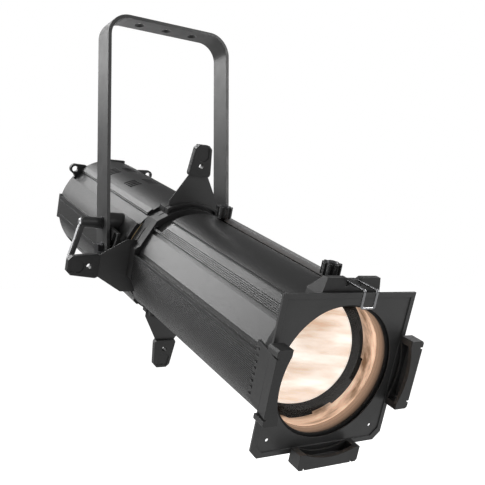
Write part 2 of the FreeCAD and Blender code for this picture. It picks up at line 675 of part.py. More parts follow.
def control_panel():
    """Sheet panel on the end plate, pierced for the window, keys and sockets."""
    body = new_body("control_panel", rear_point(0, 0))
    wide, high = "panel_half_wide", "panel_half_high"
    extrude(body, "y", "0", "panel_thick", [("box", "-" + wide, "-" + high, wide, high)])
    fillet(body, "5", lambda edge: runs_along(edge, "y"))
    holes = [("box", "-44", "14", "6", "38")]
    holes += [("circle", "%d" % x, "%d" % z, "4.3") for x, z in BUTTON_PLACES.values()]
    holes += [("circle", "%d" % x, "-4", "10.5") for x in DATA_PLACES]
    holes += [("box", "-43", "-40", "-9", "-18"), ("circle", "4", "-29", "7")]
    extrude(body, "y", "0", "panel_thick", holes, cut=True)


BUTTON_PLACES = {"menu": (16, 33), "up": (30, 33), "down": (30, 19), "enter": (16, 19)}
DATA_PLACES = (-28, 4)


def display_window():
    body = new_body("display_window", rear_point(0, 0))
    extrude(body, "y", "0", "panel_thick - 0.5", [("box", "-44", "14", "6", "38")])


def panel_button(name):
    """Push key standing out of the control panel by its travel and a little more."""
    x, z = BUTTON_PLACES[name]
    body = new_body("button_" + name, rear_point(x, z))
    extrude(body, "y", "2.1", "4.6", [("circle", "0", "0", "4.2")])
    fillet(body, "0.8", lambda edge: edge.CenterOfMass.y > 4.5)


def data_socket(name, x):
    """Round five-pole data socket: a flanged shell with a keyed recess."""
    body = new_body("data_socket_" + name, rear_point(x, -4))
    extrude(body, "y", "0", "5", [("circle", "0", "0", "10.4")])
    extrude(body, "y", "1.5", "5", [("circle", "0", "0", "8.2")], cut=True)
    pins = []
    for number in range(5):
        angle = 180 + 45 * number
        pins.append(("circle", "5 * cos(%ddeg)" % angle, "5 * sin(%ddeg)" % angle, "0.9"))
    extrude(body, "y", "1", "4.2", pins)


def power_inlet():
    """Locking mains inlet: a square shell with a recess and three blades."""
    body = new_body("power_inlet", rear_point(-26, -29))
    extrude(body, "y", "0", "7", [("box", "-16.8", "-10.8", "16.8", "10.8")])
    extrude(body, "y", "1.5", "7", [("box", "-13", "-8", "13", "8")], cut=True)
    blades = [("box", "%d" % (x - 1), "%d" % (z - 2), "%d" % (x + 1), "%d" % (z + 2))
              for x, z in ((-7, -2), (0, 2), (7, -2))]
    extrude(body, "y", "1", "6", blades)


def fuse_cap():
    body = new_body("fuse_cap", rear_point(4, -29))
    extrude(body, "y", "0", "6.5", [("circle", "0", "0", "6.9")])
    fillet(body, "0.8", lambda edge: edge.CenterOfMass.y > 6.4)
    extrude(body, "y", "5", "6.6", [("box", "-5", "-0.8", "5", "0.8")], cut=True)


def cover_screws():
    """Pan-head screws at the corners of the end plate."""
    heads = []
    rear = size("housing_rear + rear_thick")
    for angle in (29, 151, 209, 331):
        turn = math.radians(angle)
        x, z = 68 * math.cos(turn), 68 * math.sin(turn)
        head = rod((x, rear, z), (0, 1, 0), 2.2, 4.0)
        socket = rod((x, rear + 1.0, z), (0, 1, 0), 1.2, 1.6)
        heads.append(head.cut(socket))
    add_shape("cover_screws", Part.makeCompound(heads))


def reflector():
    """Flared reflector between the light engine and the gate."""
    body = new_body("reflector")
    outer = [("24", "20"), ("52", "-26"), ("62", "-26"), ("62", "-29"), ("50", "-29"), ("21", "20")]
    revolve(body, outer)


def led_module():
    """Light engine: a round board with a square emitter under a low dome."""
    body = new_body("led_module")
    extrude(body, "y", "21", "30", [("circle", "0", "0", "40")])
    extrude(body, "y", "18", "21", [("box", "-14", "-14", "14", "14")])
    fillet(body, "2", lambda edge: abs(edge.CenterOfMass.y - 30) < 0.1)


def heat_sink():
    """Finned heat sink behind the light engine."""
    body = new_body("heat_sink")
    extrude(body, "y", "30", "40", [("circle", "0", "0", "64")])
    fins = []
    for number in range(-7, 8):
        x = 8.0 * number
        half = math.sqrt(64 ** 2 - x ** 2) - 2
        fins.append(("box", "%g" % (x - 1), "%.3f" % -half, "%g" % (x + 1), "%.3f" % half))
    extrude(body, "y", "40", "110", fins)


def fan_frame():
    """Square axial fan frame with a hub carried on four arms."""
    body = new_body("fan_frame")
    extrude(body, "y", "112", "137", [("box", "-46", "-46", "46", "46")])
    fillet(body, "5", lambda edge: runs_along(edge, "y"))
    extrude(body, "y", "112", "137", [("circle", "0", "0", "43.5")], cut=True)
    arms = [("box", "-44", "-2.5", "44", "2.5"), ("box", "-2.5", "-44", "2.5", "44")]
    extrude(body, "y", "134", "137", arms[:1])
    extrude(body, "y", "134", "137", arms[1:])
    extrude(body, "y", "134", "137", [("circle", "0", "0", "17")])


def fan_rotor():
    """Hub and blades of the cooling fan."""
    body = new_body("fan_rotor")
    extrude(body, "y", "113", "133.5", [("circle", "0", "0", "17")])
    blade = [("outline", [("15", "-3"), ("41.5", "-8"), ("42", "-5"), ("15", "1")])]
    feature = extrude(body, "y", "114", "132", blade)
    pattern(body, feature, "Y_Axis", 7)


def driver_board():
    """Driver electronics on a circuit board behind the fan."""
    body = new_body("driver_board")
    extrude(body, "y", "176", "178", [("box", "-48", "-46", "48", "46")])
    blocks = [("box", "-40", "-38", "-14", "-8"), ("box", "4", "10", "36", "34"),
              ("circle", "-28", "16", "9"), ("circle", "-4", "-26", "7"), ("circle", "18", "-26", "7")]
    extrude(body, "y", "178", "196", blocks)
    posts = [("circle", "%d" % x, "%d" % z, "3") for x in (-42, 42) for z in (-42, 42)]
    extrude(body, "y", "178", "housing_rear", posts)


# ---------------------------------------------------------------- lens tube

def mirrored_section(points):
    """Adds the mirror image of a section's points, in order, to close it over the top."""
    return points + [Vector(-point.x, point.y, point.z) for point in reversed(points)]


def ribs_between(start, end, outer):
    """Square ribs along an arc from start to end degrees, as section points."""
    pitch, deep = size("rib_pitch"), size("rib_deep")
    count = int(round(abs(math.radians(end - start)) * outer / pitch))
    step = (end - start) / count
    points = []
    for number in range(count):
        angle = start + step * number
        points += [polar(angle, outer), polar(angle + step * 0.5, outer),
                   polar(angle + step * 0.5, outer - deep), polar(angle + step, outer - deep)]
    return points[:-1] + [polar(end, outer - deep)]


def inner_arc(start, end):
    """Section points along the tube bore."""
    count = 24
    radius = size("tube_bore")
    return [polar(start + (end - start) * number / count, radius) for number in range(count + 1)]


def tube_lower():
    """Lower half of the lens tube, ribbed along its length all round the underside."""
    seam = size("seam_angle")
    half = [polar(seam, size("seam_radius")), polar(size("skirt_start"), size("seam_radius")),
            polar(size("skirt_start"), size("tube_skin"))]
    half += ribs_between(size("skirt_start") - 1.5, -90, size("tube_skin"))
    section = mirrored_section(half) + inner_arc(180 - seam, 360 + seam)
    add_shape("tube_lower", prism(section, size("tube_front"), size("tube_rear")))


def tube_upper():
    """Upper half of the lens tube: facets, a channel, a ribbed band and a crown, recessed behind."""
    low, high = size("facet_low"), size("facet_high")
    facet = size("facet_distance") / math.cos(math.radians((high - low) / 2))
    channel, band = size("channel_radius"), size("rib_band_radius")
    half = [polar(size("seam_angle"), size("seam_radius")), polar(low, size("seam_radius")),
            polar(low, facet), polar(high, facet), polar(high, channel),
            polar(size("rib_band_start"), channel)]
    half += ribs_between(size("rib_band_start"), size("strip_start"), band)
    half += [polar(size("strip_start") + 0.2, band), polar(size("strip_end"), band)]
    crown = size("tube_top")
    start = size("strip_end")
    half += [polar(start + (89 - start) * number / 12, crown) for number in range(13)]
    outer = mirrored_section(half)
    inner = inner_arc(180 - size("seam_angle"), size("seam_angle"))
    shell = prism(outer + inner, size("tube_front"), size("tube_rear"))
    x, wide = size("slot_x"), size("slot_half")
    front, rear = size("slot_front"), size("slot_rear")
    slot = Part.makeBox(2 * wide, rear - front, 30, Vector(x - wide, front, 55))
    start, floor = size("recess_start"), size("recess_radius")
    above = [polar(start, 90), polar(90, 130), polar(180 - start, 90)]
    below = [polar(180 - start - (90 - start) * number / 12, floor) for number in range(25)]
    recess = prism(above + below, size("recess_front"), size("tube_rear") + 1)
    add_shape("tube_upper", shell.cut(slot).cut(recess))


def slot_rail():
    """Raised rail along the outer edge of the knob slot."""
    body = new_body("slot_rail")
    left, right, top = "rail_left", "rail_right", "rail_top"
    outline = [
        (left, "sqrt(tube_top * tube_top - rail_left * rail_left)"), (left, top),
        ("%s - 2.5" % right, top), (right, "%s - 3" % top),
        (right, "sqrt(tube_top * tube_top - rail_right * rail_right)", "-tube_top"),
    ]
    extrude(body, "y", "tube_front + 8", "tube_rear - 24", [("outline", outline)])


# guide tabs of the lens carriages: start and end, counted from the right-hand side upwards
TAB_ANGLES = ((-51, -9), (-87, -68), (-171, -129), (76, 104))


def lens_carriage(name, place):
    """Ring that carries one lens; its tabs run in the tube and a stud stands in the slot."""
    body = new_body(name + "_carriage")
    low, high = "%s - carriage_long / 2" % place, "%s + carriage_long / 2" % place
    extrude(body, "y", low, high, [("circle", "0", "0", "carriage_outer")])
    tabs = []
    for start, end in TAB_ANGLES:
        tabs.append(("outline", [
            ("54 * cos(%gdeg)" % start, "54 * sin(%gdeg)" % start),
            ("tab_reach * cos(%gdeg)" % start, "tab_reach * sin(%gdeg)" % start, "-tab_reach"),
            ("tab_reach * cos(%gdeg)" % end, "tab_reach * sin(%gdeg)" % end),
            ("54 * cos(%gdeg)" % end, "54 * sin(%gdeg)" % end),
        ]))
    extrude(body, "y", low, high, tabs)
    extrude(body, "y", low, high, [("circle", "0", "0", "carriage_inner")], cut=True)
    extrude(body, "z", "stud_low", "knob_low + 9", [("circle", "slot_x", place, "knob_stud")])


def carriage_lens(name, place):
    """Plano-convex lens held in a carriage, curved side to the rear."""
    body = new_body(name + "_lens")
    sag = "carriage_lens_curve - sqrt(carriage_lens_curve * carriage_lens_curve" \
          " - carriage_inner * carriage_inner)"
    face = "%s - carriage_long / 2 + 1" % place
    edge = "%s + 3" % face
    revolve(body, [("0", face), ("carriage_inner", face),
                   ("carriage_inner", edge, "-carriage_lens_curve"), ("0", "%s + %s" % (edge, sag))])


def clamp_knob(name, place):
    """Fluted clamping knob on a carriage stud."""
    seat = FreeCAD.Placement(Vector(size("slot_x"), size(place), 0), FreeCAD.Rotation())
    body = new_body(name + "_knob", BARREL.multiply(seat))
    extrude(body, "z", "knob_low", "knob_high", [("circle", "0", "0", "knob_radius")])
    groove = [("circle", "knob_radius + 0.3", "0", "flute_radius")]
    flute = extrude(body, "z", "knob_low", "knob_high", groove, cut=True)
    pattern(body, flute, "Z_Axis", int(size("knob_lobes")))
    bore = [("circle", "0", "0", "knob_stud + pin_clearance")]
    extrude(body, "z", "knob_low - 1", "knob_low + 9.3", bore, cut=True)


# ---------------------------------------------------------------- front of the tube

def front_bezel():
    """Ring on the front of the tube with a thin lip round the lens."""
    body = new_body("front_bezel")
    revolve(body, [
        ("opening_radius - 2.4", "bezel_front"), ("bezel_radius", "bezel_front"),
        ("bezel_radius", "bezel_rear"), ("tube_bore", "bezel_rear"), ("tube_bore", "bezel_rear - 2"),
        ("opening_radius - 1", "bezel_rear - 3"), ("opening_radius - 1", "bezel_front + 2"),
        ("opening_radius - 2.4", "bezel_front + 2"),
    ])


def front_lens():
    """Plano-convex front lens, curved side out."""
    body = new_body("front_lens")
    edge = "lens_back - lens_edge"
    sag = "lens_curve - sqrt(lens_curve * lens_curve - lens_radius * lens_radius)"
    revolve(body, [("0", "lens_back"), ("0", "%s - (%s)" % (edge, sag), "-lens_curve"),
                   ("lens_radius", edge), ("lens_radius", "lens_back")])


def lens_ring():
    """Thin ring that holds the front lens against the shoulder of the bezel."""
    body = new_body("lens_ring")
    low, high = "lens_back - lens_edge - 3", "lens_back - lens_edge - 0.9"
    revolve(body, [("lens_radius - 1.4", low), ("lens_radius + 0.2", low),
                   ("lens_radius + 0.2", high), ("lens_radius - 1.4", high)])


def gel_clip(side, angle):
    """C-channel that holds the gel frame: two lips, end posts and a comb-edged side panel."""
    body = new_body("gel_clip_" + side, turned(angle))
    panel = [
        ("clip_front", "clip_wall_outer"), ("clip_front", "clip_wall_outer - 3"),
        ("panel_rear", "panel_rear_reach - 3"), ("panel_rear", "panel_rear_reach"),
    ]
    extrude(body, "x", "-panel_half", "panel_half", [("outline", panel)])
    chord = "sqrt(clip_arc * clip_arc - clip_post_reach * clip_post_reach)"
    inner = "(clip_half - clip_post)"
    half = [(inner, "clip_bar_outer"), (inner, "clip_wall_outer"), ("clip_half - 2", "clip_wall_outer"),
            ("clip_half", "clip_wall_outer - 2"), ("clip_half", "clip_post_reach")]
    lip = half + [(chord, "clip_post_reach", "-clip_arc"), ("-" + chord, "clip_post_reach")]
    lip += [("-(%s)" % x, z) for x, z in reversed(half)]
    extrude(body, "y", "clip_front", "clip_front + clip_lip", [("outline", lip)])
    extrude(body, "y", "divider_front", "divider_rear", [("outline", lip)])
    posts = []
    for sign in ("", "-"):
        corners = [(inner, "clip_post_reach")] + half[1:]
        posts.append(("outline", [(sign + "(%s)" % x, z) for x, z in corners]))
    extrude(body, "y", "clip_front", "divider_rear", posts)
    foot = [("box", "-20", "bezel_radius - 6", "20", "panel_rear_reach - 2")]
    extrude(body, "y", "bezel_front + 1", "bezel_rear", foot)
    extrude(body, "y", "bezel_front", "bezel_rear + 2", [("circle", "0", "0", "bezel_radius")], cut=True)
    notches = []
    for number in range(8):
        middle = "comb_pitch * %g" % (number - 3.5)
        notches.append(("box", "%s - comb_wide / 2" % middle, "panel_rear - comb_deep",
                        "%s + comb_wide / 2" % middle, "panel_rear + 1"))
    extrude(body, "z", "panel_rear_reach - 6", "panel_rear_reach + 4", notches, cut=True)


def top_cover():
    """Wedge-shaped cover over the top clip position, notched for the latch wire."""
    body = new_body("top_cover")
    outline = [("-cover_half_low", "cover_low - 8"), ("-cover_half_low", "cover_low"),
               ("-cover_half_top", "cover_top"), ("cover_half_top", "cover_top"),
               ("cover_half_low", "cover_low"), ("cover_half_low", "cover_low - 8")]
    extrude(body, "y", "bezel_front", "cover_rear", [("outline", outline)])
    slope = [("cover_roof_rear", "cover_top + 1"), ("cover_roof_rear", "cover_top"),
             ("cover_rear", "cover_low + 1"), ("cover_rear + 1", "cover_low + 1"),
             ("cover_rear + 1", "cover_top + 1")]
    extrude(body, "x", "-cover_half_low - 1", "cover_half_low + 1", [("outline", slope)], cut=True)
    notch = [("box", "-notch_half", "notch_low", "notch_half", "cover_top + 1")]
    extrude(body, "y", "bezel_front - 1", "cover_rear", notch, cut=True)
    extrude(body, "y", "bezel_front - 1", "cover_rear + 1",
            [("circle", "0", "0", "bezel_radius")], cut=True)
    catch = [("box", "-catch_half", "notch_low", "catch_half", "catch_top")]
    extrude(body, "y", "bezel_front", "cover_roof_rear", catch)
    hole = [("circle", "latch_pivot_y", "latch_pivot_z", "wire_radius + pin_clearance")]
    extrude(body, "x", "-notch_half - 4", "notch_half + 4", hole, cut=True)


def bent_wire(points, bend, radius):
    """Round wire through the points, bent to a radius at each inner point."""
    edges = []
    start = points[0]
    for number in range(1, len(points) - 1):
        corner = points[number]
        back = (points[number - 1] - corner).normalize()
        ahead = (points[number + 1] - corner).normalize()
        turn_in, turn_out = corner + back * bend, corner + ahead * bend
        centre = corner + back * bend + ahead * bend
        middle = centre + (corner - centre).normalize() * bend
        edges.append(Part.LineSegment(start, turn_in).toShape())
        edges.append(Part.Arc(turn_in, middle, turn_out).toShape())
        start = turn_out
    edges.append(Part.LineSegment(start, points[-1]).toShape())
    path = Part.Wire(edges)
    ring = Part.Wire(Part.makeCircle(radius, points[0], points[1] - points[0]))
    return path.makePipeShell([ring], True, True)


def latch_wire():
    """Spring-wire bail hinged in the cover; closed, it hangs in front of the gel frame."""
    half, bend = size("latch_half"), size("latch_bend")
    y, z = size("latch_pivot_y"), size("latch_pivot_z")
    front, low = size("latch_front"), size("latch_low")
    end = size("notch_half") + 3.5
    leg = [Vector(-end, y, z), Vector(-half, y, z), Vector(-half, front, z), Vector(-half, front, low)]
    points = leg + [Vector(-point.x, point.y, point.z) for point in reversed(leg)]
    add_shape("latch_wire", bent_wire(points, bend, size("wire_radius")))


def gel_frame():
    """Square sheet-metal colour frame with a raised hem and a round opening."""
    body = new_body("gel_frame")
    front, middle = "gel_rear - gel_sheet - gel_hem_high", "gel_rear - gel_sheet"
    half, cut = "gel_half", "gel_half - gel_chamfer"
    outline = [("-" + half, half), (half, half), (half, "-(%s)" % cut), (cut, "-" + half),
               ("-(%s)" % cut, "-" + half), ("-" + half, "-(%s)" % cut)]
    extrude(body, "y", front, "gel_rear", [("outline", outline)])
    inset = "gel_half - gel_hem"
    corner = "gel_half - gel_hem - gel_chamfer"
    field = [("-(%s)" % inset, inset), (inset, inset), (inset, "-(%s)" % corner),
             (corner, "-(%s)" % inset), ("-(%s)" % corner, "-(%s)" % inset),
             ("-(%s)" % inset, "-(%s)" % corner)]
    extrude(body, "y", front, middle, [("outline", field)], cut=True)
    holes = [("circle", "0", "0", "opening_radius")]
    holes += [("circle", sign + "gel_hole_x", "-gel_hole_z", "gel_hole") for sign in ("", "-")]
    extrude(body, "y", front, "gel_rear", holes, cut=True)


# ---------------------------------------------------------------- assembly and export

yoke_bracket()
guide_bolts()
bolt_washers()
lock_lever()
pivot_studs()
pivot_nut()
tilt_bracket("tilt_bracket_left", -1)
tilt_bracket("tilt_bracket_right", 1)
friction_discs()
gate_front_ring()
gate_rear_ring()
gate_aperture()
shutter("top", 0, 2.5, 5.5)
shutter("bottom", 180, 4, 0)
shutter("left", -90, -7, 3)
shutter("right", 90, 0, 0)
lamp_housing()
rear_cover()
control_panel()
display_window()
for button in BUTTON_PLACES:
    panel_button(button)
data_socket("in", DATA_PLACES[0])
data_socket("out", DATA_PLACES[1])
power_inlet()
fuse_cap()
cover_screws()
reflector()
led_module()
heat_sink()
fan_frame()
fan_rotor()
driver_board()
tube_lower()
tube_upper()
slot_rail()
for lens_name, lens_place in (("zoom", "zoom_y"), ("focus", "focus_y")):
    lens_carriage(lens_name, lens_place)
    carriage_lens(lens_name, lens_place)
    clamp_knob(lens_name, lens_place)
front_bezel()
front_lens()
lens_ring()
gel_clip("left", -90)
gel_clip("right", 90)
gel_clip("bottom", 180)
top_cover()
latch_wire()
gel_frame()
document.recompute()

for item in document.Objects:
    if any(flag in item.State for flag in ("Invalid", "Error")):
        raise RuntimeError("%s did not compute: %s" % (item.Label, item.State))

os.makedirs("parts", exist_ok=True)
for item in subparts:
    if item.Shape.isNull() or not item.Shape.isValid():
        raise RuntimeError("%s has no valid shape" % item.Label)
    item.Shape.exportStep("parts/%s.step" % item.Label)
    print("%-24s %9.0f mm3, %d solids" % (item.Label, item.Shape.Volume, len(item.Shape.Solids)))
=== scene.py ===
"""Looks for the ellipsoidal spotlight: materials, small trim, a studio and a camera.

Everything is in metres in the row frame. Barrel pieces are drawn in the barrel's own frame
(origin on the optical axis, beam towards -Y) and carried over by BARREL.
"""

import json
import math

import bmesh
import bpy
from mathutils import Matrix, Vector


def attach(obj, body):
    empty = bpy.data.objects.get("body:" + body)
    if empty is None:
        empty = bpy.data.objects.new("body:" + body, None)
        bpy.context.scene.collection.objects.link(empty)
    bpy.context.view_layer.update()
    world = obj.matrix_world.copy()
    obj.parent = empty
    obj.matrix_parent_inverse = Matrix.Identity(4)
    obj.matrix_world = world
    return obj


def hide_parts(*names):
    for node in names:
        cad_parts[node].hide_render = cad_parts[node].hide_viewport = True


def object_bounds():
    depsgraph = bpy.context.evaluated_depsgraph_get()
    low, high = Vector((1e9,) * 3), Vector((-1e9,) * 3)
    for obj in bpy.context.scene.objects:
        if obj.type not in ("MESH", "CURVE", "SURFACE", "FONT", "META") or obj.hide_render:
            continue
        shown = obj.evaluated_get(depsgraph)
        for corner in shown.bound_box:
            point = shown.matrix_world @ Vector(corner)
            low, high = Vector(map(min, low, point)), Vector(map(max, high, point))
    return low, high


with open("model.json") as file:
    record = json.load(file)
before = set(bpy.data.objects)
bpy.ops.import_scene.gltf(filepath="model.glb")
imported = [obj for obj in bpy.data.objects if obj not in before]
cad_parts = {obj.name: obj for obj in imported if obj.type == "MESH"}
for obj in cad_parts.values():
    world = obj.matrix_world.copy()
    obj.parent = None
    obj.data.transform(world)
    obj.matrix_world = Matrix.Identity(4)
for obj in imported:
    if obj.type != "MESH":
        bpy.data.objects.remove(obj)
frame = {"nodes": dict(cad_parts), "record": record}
cad_low, cad_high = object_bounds()

MM = 0.001
TILT = math.radians(20)
BARREL = Matrix.Translation((0, 0, -303 * MM)) @ Matrix.Rotation(TILT, 4, "X")


# ---------------------------------------------------------------- node helpers

class Shader:
    """A node material under construction; every call adds one node and returns its output."""

    def __init__(self, name):
        self.material = bpy.data.materials.new(name)
        self.material.use_nodes = True
        self.tree = self.material.node_tree
        self.bsdf = self.tree.nodes["Principled BSDF"]
        self.coords = self.add("ShaderNodeTexCoord").outputs["Object"]

    def add(self, kind, **settings):
        node = self.tree.nodes.new(kind)
        for key, value in settings.items():
            setattr(node, key, value)
        return node

    def link(self, source, socket):
        self.tree.links.new(source, socket)

    def feed(self, node, **inputs):
        """Sets or links a node's inputs by name, underscores standing for spaces."""
        for name, value in inputs.items():
            socket = node.inputs[name.replace("_", " ")]
            if isinstance(value, bpy.types.NodeSocket):
                self.link(value, socket)
            else:
                socket.default_value = value

    def mapped(self, scale=(1, 1, 1), turn=(0, 0, 0)):
        node = self.add("ShaderNodeMapping")
        self.feed(node, Vector=self.coords, Scale=scale, Rotation=turn)
        return node.outputs["Vector"]

    def noise(self, scale, detail=2.0, vector=None, roughness=0.5):
        node = self.add("ShaderNodeTexNoise")
        self.feed(node, Vector=vector or self.coords, Scale=scale, Detail=detail, Roughness=roughness)
        return node.outputs["Fac"]

    def spread(self, value, low, high, start=0.3, end=0.7):
        """Maps a texture value from start..end to low..high."""
        node = self.add("ShaderNodeMapRange")
        self.feed(node, Value=value, From_Min=start, From_Max=end, To_Min=low, To_Max=high)
        return node.outputs["Result"]

    def mix(self, factor, first, second):
        node = self.add("ShaderNodeMix", data_type="RGBA")
        for index, value in ((0, factor), (6, first), (7, second)):
            if isinstance(value, bpy.types.NodeSocket):
                self.link(value, node.inputs[index])
            else:
                node.inputs[index].default_value = value
        return node.outputs[2]

    def rounded(self, radius):
        node = self.add("ShaderNodeBevel", samples=6)
        self.feed(node, Radius=radius)
        return node.outputs["Normal"]

    def bump(self, height, distance, strength=0.5, normal=None):
        node = self.add("ShaderNodeBump")
        self.feed(node, Height=height, Distance=distance, Strength=strength)
        if normal:
            self.link(normal, node.inputs["Normal"])
        return node.outputs["Normal"]


def grey(value, warmth=0.0):
    return (value * (1 + warmth), value, value * (1 - warmth), 1.0)


def painted(name, level, roughness, grain=900.0, depth=0.00012):
    """Satin paint or powder coat: fine grain, cloudy sheen and slightly rounded edges."""
    shader = Shader(name)
    cloud = shader.noise(14.0, 3.0)
    fine = shader.noise(grain, 2.0)
    tone = shader.mix(shader.spread(cloud, 0.0, 1.0), grey(level * 0.88), grey(level * 1.12))
    speck = shader.spread(fine, 0.0, 0.35, 0.55, 0.8)
    tone = shader.mix(speck, tone, grey(level * 1.7))
    sheen = shader.spread(shader.noise(60.0, 3.0), roughness - 0.05, roughness + 0.06)
    normal = shader.bump(fine, depth, 0.35, shader.rounded(0.0005))
    shader.feed(shader.bsdf, Base_Color=tone, Roughness=sheen, Normal=normal)
    return shader.material


def extruded(name, level, roughness):
    """Anodised extrusion: drawn lines along the barrel over a soft satin."""
    shader = Shader(name)
    along = shader.mapped((900, 6, 900), (-TILT, 0, 0))
    lines = shader.noise(1.0, 2.0, along)
    cloud = shader.noise(9.0, 2.0)
    tone = shader.mix(shader.spread(lines, 0.0, 1.0), grey(level * 0.9), grey(level * 1.12))
    tone = shader.mix(shader.spread(cloud, 0.0, 0.25), tone, grey(level * 1.35))
    rough = shader.spread(lines, roughness - 0.04, roughness + 0.05)
    shader.feed(shader.bsdf, Base_Color=tone, Roughness=rough,
                Normal=shader.bump(lines, 0.00006, 0.3, shader.rounded(0.0004)))
    return shader.material


def metal(name, colour, roughness):
    """Bare metal with fine brushed lines and a few dull smudges."""
    shader = Shader(name)
    lines = shader.noise(1.0, 3.0, shader.mapped((1500, 60, 1500)))
    smudge = shader.noise(40.0, 3.0)
    dull = tuple(c * 0.72 for c in colour[:3]) + (1,)
    tone = shader.mix(shader.spread(smudge, 0.0, 0.6), colour, dull)
    rough = shader.spread(lines, roughness - 0.06, roughness + 0.1)
    shader.feed(shader.bsdf, Base_Color=tone, Metallic=1.0, Roughness=rough,
                Normal=shader.bump(lines, 0.00004, 0.3, shader.rounded(0.0003)))
    return shader.material


def moulded(name, level, roughness, grain=1400.0):
    """Spark-textured black plastic."""
    shader = Shader(name)
    grain_map = shader.noise(grain, 3.0)
    cloud = shader.noise(25.0, 2.0)
    tone = shader.mix(shader.spread(cloud, 0.0, 1.0), grey(level * 0.85), grey(level * 1.15))
    rough = shader.spread(grain_map, roughness - 0.06, roughness + 0.08)
    shader.feed(shader.bsdf, Base_Color=tone, Roughness=rough,
                Normal=shader.bump(grain_map, 0.00025, 0.4, shader.rounded(0.0006)))
    return shader.material


def glass(name):
    """Coated lens glass: a little haze, and weaker reflections than bare glass."""
    shader = Shader(name)
    haze = shader.noise(30.0, 2.0)
    shader.feed(shader.bsdf, Base_Color=(1.0, 0.985, 0.96, 1), Roughness=shader.spread(haze, 0.0, 0.02))
    shader.bsdf.inputs["Transmission Weight"].default_value = 1.0
    shader.bsdf.inputs["IOR"].default_value = 1.5
    shader.bsdf.inputs["Specular Tint"].default_value = (0.2, 0.2, 0.2, 1)
    return shader.material


def glowing(name, dark, light, strength, stretch):
    """A self-lit surface: soft streaks between two warm tones sent out as emission, painted lamp light
    where the surface is no lamp.
    """
    shader = Shader(name)
    streaks = shader.noise(1.0, 4.0, shader.mapped(stretch, (0.5, 0.9, 0.3)), 0.6)
    tone = shader.mix(shader.spread(streaks, 0.0, 1.0, 0.35, 0.65), dark, light)
    shader.feed(shader.bsdf, Base_Color=tone, Emission_Color=tone, Emission_Strength=strength,
                Roughness=0.6)
    return shader.material


BORE_GLOW_REAR, BORE_GLOW_FRONT, BORE_RADIUS = -356.5, -365.0, 66.4


def bezel_painted_glow(name):
    """Dull black with painted warm lamp light on its bore, dying away towards the front."""
    shader = Shader(name)
    fine = shader.noise(900.0, 2.0)
    local = shader.add("ShaderNodeMapping", vector_type="TEXTURE")
    shader.feed(local, Vector=shader.coords, Location=BARREL.translation, Rotation=(TILT, 0, 0))
    parts = shader.add("ShaderNodeSeparateXYZ")
    shader.feed(parts, Vector=local.outputs["Vector"])
    across = shader.add("ShaderNodeCombineXYZ")
    shader.feed(across, X=parts.outputs["X"], Y=parts.outputs["Z"])
    radius = shader.add("ShaderNodeVectorMath", operation="LENGTH")
    shader.feed(radius, Vector=across.outputs["Vector"])
    # painted lamp light: warm emission on the bore, strongest next to the lens and gone at the front
    along = shader.spread(parts.outputs["Y"], 0.0, 1.0, BORE_GLOW_FRONT * MM, BORE_GLOW_REAR * MM)
    inside = shader.spread(radius.outputs["Value"], 1.0, 0.0, BORE_RADIUS * MM, (BORE_RADIUS + 0.4) * MM)
    glow = shader.add("ShaderNodeMath", operation="MULTIPLY")
    shader.link(along, glow.inputs[0])
    shader.link(inside, glow.inputs[1])
    shader.feed(shader.bsdf, Base_Color=shader.mix(shader.spread(fine, 0.0, 1.0), grey(0.005), grey(0.008)),
                Roughness=shader.spread(shader.noise(60.0, 3.0), 0.56, 0.68),
                Normal=shader.bump(fine, 0.00012, 0.35), Emission_Color=(0.36, 0.225, 0.15, 1),
                Emission_Strength=glow.outputs["Value"])
    return shader.material


def flat_black_and_shade(name):
    """Very dull black for the lens carriages: partly their own flat black, partly painted shade, darker and
    less reflective than real paint so they hardly catch the lamp's light.
    """
    material = painted(name, 0.004, 0.7)
    # painted shade: weak reflections keep the carriages black inside the barrel
    material.node_tree.nodes["Principled BSDF"].inputs["Specular IOR Level"].default_value = 0.1
    return material


def circuit(name):
    """Green board with a pattern of square cells."""
    shader = Shader(name)
    cells = shader.add("ShaderNodeTexVoronoi", distance="MANHATTAN")
    shader.feed(cells, Vector=shader.coords, Scale=160.0)
    tone = shader.mix(shader.spread(cells.outputs["Distance"], 0.0, 1.0, 0.2, 0.5),
                      (0.01, 0.06, 0.02, 1), (0.02, 0.16, 0.06, 1))
    shader.feed(shader.bsdf, Base_Color=tone, Roughness=shader.spread(shader.noise(80.0), 0.25, 0.4))
    return shader.material


MATERIALS = {
    "painted_black": painted("painted_black", 0.045, 0.38),
    "extruded_black": extruded("extruded_black", 0.030, 0.34),
    "cast_black": painted("cast_black", 0.026, 0.42, 700.0, 0.0002),
    "sheet_black": painted("sheet_black", 0.047, 0.38, 1100.0, 0.0001),
    "moulded_black": moulded("moulded_black", 0.022, 0.42),
    "black_steel": metal("black_steel", (0.10, 0.10, 0.105, 1), 0.34),
    "bright_steel": metal("bright_steel", (0.62, 0.62, 0.63, 1), 0.32),
    "plain_aluminium": metal("plain_aluminium", (0.72, 0.72, 0.73, 1), 0.36),
    "lens_glass": glass("lens_glass"),
    "reflector_mirror": metal("reflector_mirror", (0.9, 0.89, 0.87, 1), 0.12),
    "friction_rubber": moulded("friction_rubber", 0.03, 0.75, 700.0),
    "emitter": glowing("emitter", (0.9, 0.66, 0.3, 1), (1.0, 0.86, 0.6, 1), 0.10, (300, 300, 300)),
    "circuit_board": circuit("circuit_board"),
    "window": moulded("window", 0.012, 0.12, 300.0),
}

